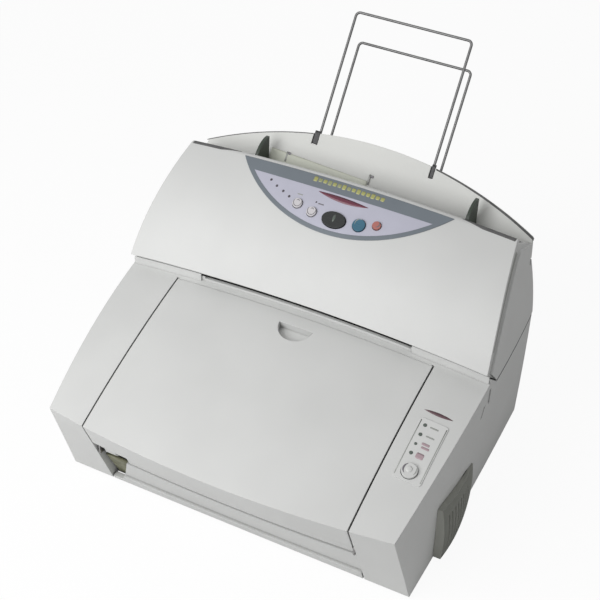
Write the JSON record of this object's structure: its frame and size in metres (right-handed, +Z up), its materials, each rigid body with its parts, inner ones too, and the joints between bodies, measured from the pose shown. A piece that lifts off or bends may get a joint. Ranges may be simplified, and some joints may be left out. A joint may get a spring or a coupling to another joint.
{
  "type": "multifunction printer",
  "caption": "Desktop laser printer with a sheet-fed scanner and control panel on top, hinged covers, wire paper supports and a side exhaust grille.",
  "frame": {"origin": "on the floor, under the middle of the printer's bounding box", "axes": "+X to the right as seen from the front, +Y to the back, +Z up; x = 0 is the casing's plane of symmetry"},
  "size_m": [0.3684, 0.4185, 0.3281],
  "materials": {
    "casing": "fine spark texture",
    "cover": "fine spark texture",
    "tray": "fine spark texture",
    "guide": "satin",
    "lens_border": "satin",
    "inlay": "satin",
    "dark_key": "satin",
    "blue_key": "satin",
    "red_key": "satin",
    "grey_key": "satin",
    "grille": "fine texture",
    "black_plastic": "satin",
    "nylon": "satin",
    "steel": "brushed",
    "drum_coat": "polished",
    "roller_metal": "ground",
    "rubber": "matt",
    "white_rubber": "matt",
    "board": "satin",
    "clear_glass": "polished"
  },
  "bodies": {
    "printer_body": {"base_pan": "steel", "rubber_feet": "rubber", "lower_case": "casing", "front_panel": "casing", "side_frame_left": "steel", "side_frame_right": "steel", "cross_bars": "steel", "cover_hinge_pins": "steel", "drum_frame": "black_plastic", "toner_cartridge": "black_plastic", "laser_unit": "black_plastic", "fuser_frame": "black_plastic", "main_motor": "steel", "main_board": "board", "power_supply": "board", "fan_frame": "black_plastic", "exhaust_grille": "grille", "power_inlet": "black_plastic", "rear_sockets": "black_plastic", "switch_housing": "black_plastic", "case_screws": "steel", "upper_case": "casing", "status_lens": "inlay", "document_tray": "tray", "paper_hopper": "tray", "scanner_frame": "black_plastic", "image_sensor": "black_plastic", "sensor_glass": "clear_glass"},
    "front_cover_body": {"front_cover": "cover"},
    "control_cover_body": {"control_cover": "cover", "control_lens": "lens_border", "control_inlay": "inlay"},
    "start_key_body": {"start_key": "dark_key"},
    "copy_key_body": {"copy_key": "blue_key"},
    "stop_key_body": {"stop_key": "red_key"},
    "mode_key_body": {"mode_key": "grey_key"},
    "quality_key_body": {"quality_key": "grey_key"},
    "status_key_body": {"status_key": "grey_key"},
    "document_wire_body": {"document_wire": "steel"},
    "paper_wire_body": {"paper_wire": "steel"},
    "guide_left_body": {"guide_left": "guide"},
    "guide_right_body": {"guide_right": "guide"},
    "guide_pinion_body": {"guide_pinion": "nylon"},
    "pressure_plate_body": {"pressure_plate": "steel"},
    "power_switch_body": {"power_switch": "black_plastic"},
    "photo_drum_body": {"photo_drum": "drum_coat", "drum_gear": "nylon"},
    "idler_gear_body": {"idler_gear": "nylon"},
    "heat_roller_body": {"heat_roller": "roller_metal", "heat_gear": "nylon"},
    "motor_pinion_body": {"motor_pinion": "steel"},
    "exit_idler_gear_body": {"exit_idler_gear": "nylon"},
    "exit_roller_body": {"exit_roller": "rubber"},
    "transfer_roller_body": {"transfer_roller": "rubber"},
    "developer_roller_body": {"developer_roller": "rubber"},
    "pressure_roller_body": {"pressure_roller": "rubber"},
    "pickup_roller_body": {"pickup_roller": "rubber"},
    "white_platen_body": {"white_platen": "white_rubber"},
    "document_roller_body": {"document_roller": "rubber"},
    "fan_rotor_body": {"fan_rotor": "black_plastic"}
  },
  "joints": [
    {"name": "front_cover_hinge", "type": "hinge", "parent": "printer_body", "child": "front_cover_body", "pos_m": [0, -0.1785, 0.058], "axis": [1, 0, 0], "range_deg": [0, 90]},
    {"name": "control_cover_hinge", "type": "hinge", "parent": "printer_body", "child": "control_cover_body", "pos_m": [0, -0.0255, 0.159], "axis": [1, 0, 0], "range_deg": [0, 40]},
    {"name": "start_key_press", "type": "slide", "parent": "control_cover_body", "child": "start_key_body", "axis": [-0.0019, 0.5174, -0.8557], "range_m": [0, 0.0012], "stiffness_N_per_m": 300, "springref_m": -0.0006},
    {"name": "copy_key_press", "type": "slide", "parent": "control_cover_body", "child": "copy_key_body", "axis": [-0.0136, 0.5068, -0.862], "range_m": [0, 0.0012], "stiffness_N_per_m": 300, "springref_m": -0.0006},
    {"name": "stop_key_press", "type": "slide", "parent": "control_cover_body", "child": "stop_key_body", "axis": [-0.0215, 0.4843, -0.8746], "range_m": [0, 0.0012], "stiffness_N_per_m": 300, "springref_m": -0.0006},
    {"name": "mode_key_press", "type": "slide", "parent": "control_cover_body", "child": "mode_key_body", "axis": [0.0171, 0.4939, -0.8693], "range_m": [0, 0.0012], "stiffness_N_per_m": 300, "springref_m": -0.0006},
    {"name": "quality_key_press", "type": "slide", "parent": "control_cover_body", "child": "quality_key_body", "axis": [0.0092, 0.5121, -0.8589], "range_m": [0, 0.0012], "stiffness_N_per_m": 300, "springref_m": -0.0006},
    {"name": "status_key_press", "type": "slide", "parent": "printer_body", "child": "status_key_body", "axis": [-0.089, 0.2637, -0.9605], "range_m": [0, 0.0012], "stiffness_N_per_m": 300, "springref_m": -0.0006},
    {"name": "document_wire_slide", "type": "slide", "parent": "printer_body", "child": "document_wire_body", "axis": [0, 0.6455, 0.7638], "range_m": [-0.05, 0]},
    {"name": "paper_wire_slide", "type": "slide", "parent": "printer_body", "child": "paper_wire_body", "axis": [0, 0.6455, 0.7638], "range_m": [-0.05, 0]},
    {"name": "guide_left_slide", "type": "slide", "parent": "printer_body", "child": "guide_left_body", "axis": [1, 0, 0], "range_m": [0, 0.033]},
    {"name": "guide_right_slide", "type": "slide", "parent": "printer_body", "child": "guide_right_body", "axis": [1, 0, 0], "range_m": [-0.033, 0]},
    {"name": "guide_pinion_spin", "type": "hinge", "parent": "printer_body", "child": "guide_pinion_body", "pos_m": [0.005, 0.0958, 0.19571], "axis": [0, 0.7638, -0.6455], "range_deg": [-0.5, 223]},
    {"name": "pressure_plate_hinge", "type": "hinge", "parent": "printer_body", "child": "pressure_plate_body", "pos_m": [0, 0.11526, 0.18827], "axis": [-1, 0, 0], "range_deg": [0, 4.5]},
    {"name": "power_switch_rock", "type": "hinge", "parent": "printer_body", "child": "power_switch_body", "pos_m": [-0.076, 0.08, 0.037], "axis": [-1, 0, 0], "range_deg": [0, 12]},
    {"name": "photo_drum_spin", "type": "hinge", "parent": "printer_body", "child": "photo_drum_body", "pos_m": [0, -0.072, 0.062], "axis": [1, 0, 0], "continuous": true},
    {"name": "idler_gear_spin", "type": "hinge", "parent": "printer_body", "child": "idler_gear_body", "pos_m": [0, -0.03059, 0.06902], "axis": [1, 0, 0], "continuous": true},
    {"name": "heat_roller_spin", "type": "hinge", "parent": "printer_body", "child": "heat_roller_body", "pos_m": [0, 0, 0.088], "axis": [1, 0, 0], "continuous": true},
    {"name": "motor_pinion_spin", "type": "hinge", "parent": "printer_body", "child": "motor_pinion_body", "pos_m": [0, -0.02659, 0.04384], "axis": [1, 0, 0], "continuous": true},
    {"name": "exit_idler_gear_spin", "type": "hinge", "parent": "printer_body", "child": "exit_idler_gear_body", "pos_m": [0, -0.01182, 0.11774], "axis": [1, 0, 0], "continuous": true},
    {"name": "exit_roller_spin", "type": "hinge", "parent": "printer_body", "child": "exit_roller_body", "pos_m": [0, 0.003, 0.134], "axis": [1, 0, 0], "continuous": true},
    {"name": "transfer_roller_spin", "type": "hinge", "parent": "printer_body", "child": "transfer_roller_body", "pos_m": [0, -0.072, 0.0392], "axis": [1, 0, 0], "continuous": true},
    {"name": "developer_roller_spin", "type": "hinge", "parent": "printer_body", "child": "developer_roller_body", "pos_m": [0, -0.0953, 0.062], "axis": [1, 0, 0], "continuous": true},
    {"name": "pressure_roller_spin", "type": "hinge", "parent": "printer_body", "child": "pressure_roller_body", "pos_m": [0, 0, 0.0657], "axis": [1, 0, 0], "continuous": true},
    {"name": "pickup_roller_spin", "type": "hinge", "parent": "printer_body", "child": "pickup_roller_body", "pos_m": [0, 0.0536, 0.145], "axis": [1, 0, 0], "continuous": true},
    {"name": "white_platen_spin", "type": "hinge", "parent": "printer_body", "child": "white_platen_body", "pos_m": [0, 0.018, 0.176], "axis": [1, 0, 0], "continuous": true},
    {"name": "document_roller_spin", "type": "hinge", "parent": "printer_body", "child": "document_roller_body", "pos_m": [0, 0.0615, 0.1862], "axis": [1, 0, 0], "continuous": true},
    {"name": "fan_rotor_spin", "type": "hinge", "parent": "printer_body", "child": "fan_rotor_body", "pos_m": [0, -0.082, 0.037], "axis": [1, 0, 0], "continuous": true}
  ],
  "couplings": [
    {"joint": "guide_right_slide", "follows": "guide_left_slide", "ratio": -1},
    {"joint": "guide_pinion_spin", "follows": "guide_left_slide", "rad_per_m": 117.65},
    {"joint": "idler_gear_spin", "follows": "photo_drum_spin", "ratio": -1.3333},
    {"joint": "heat_roller_spin", "follows": "photo_drum_spin", "ratio": 1.3333},
    {"joint": "motor_pinion_spin", "follows": "photo_drum_spin", "ratio": 3.2},
    {"joint": "exit_idler_gear_spin", "follows": "photo_drum_spin", "ratio": -1.7143},
    {"joint": "exit_roller_spin", "follows": "photo_drum_spin", "ratio": 3},
    {"joint": "transfer_roller_spin", "follows": "photo_drum_spin", "ratio": -2},
    {"joint": "developer_roller_spin", "follows": "photo_drum_spin", "ratio": -1.875},
    {"joint": "pressure_roller_spin", "follows": "photo_drum_spin", "ratio": -1.6}
  ]
}
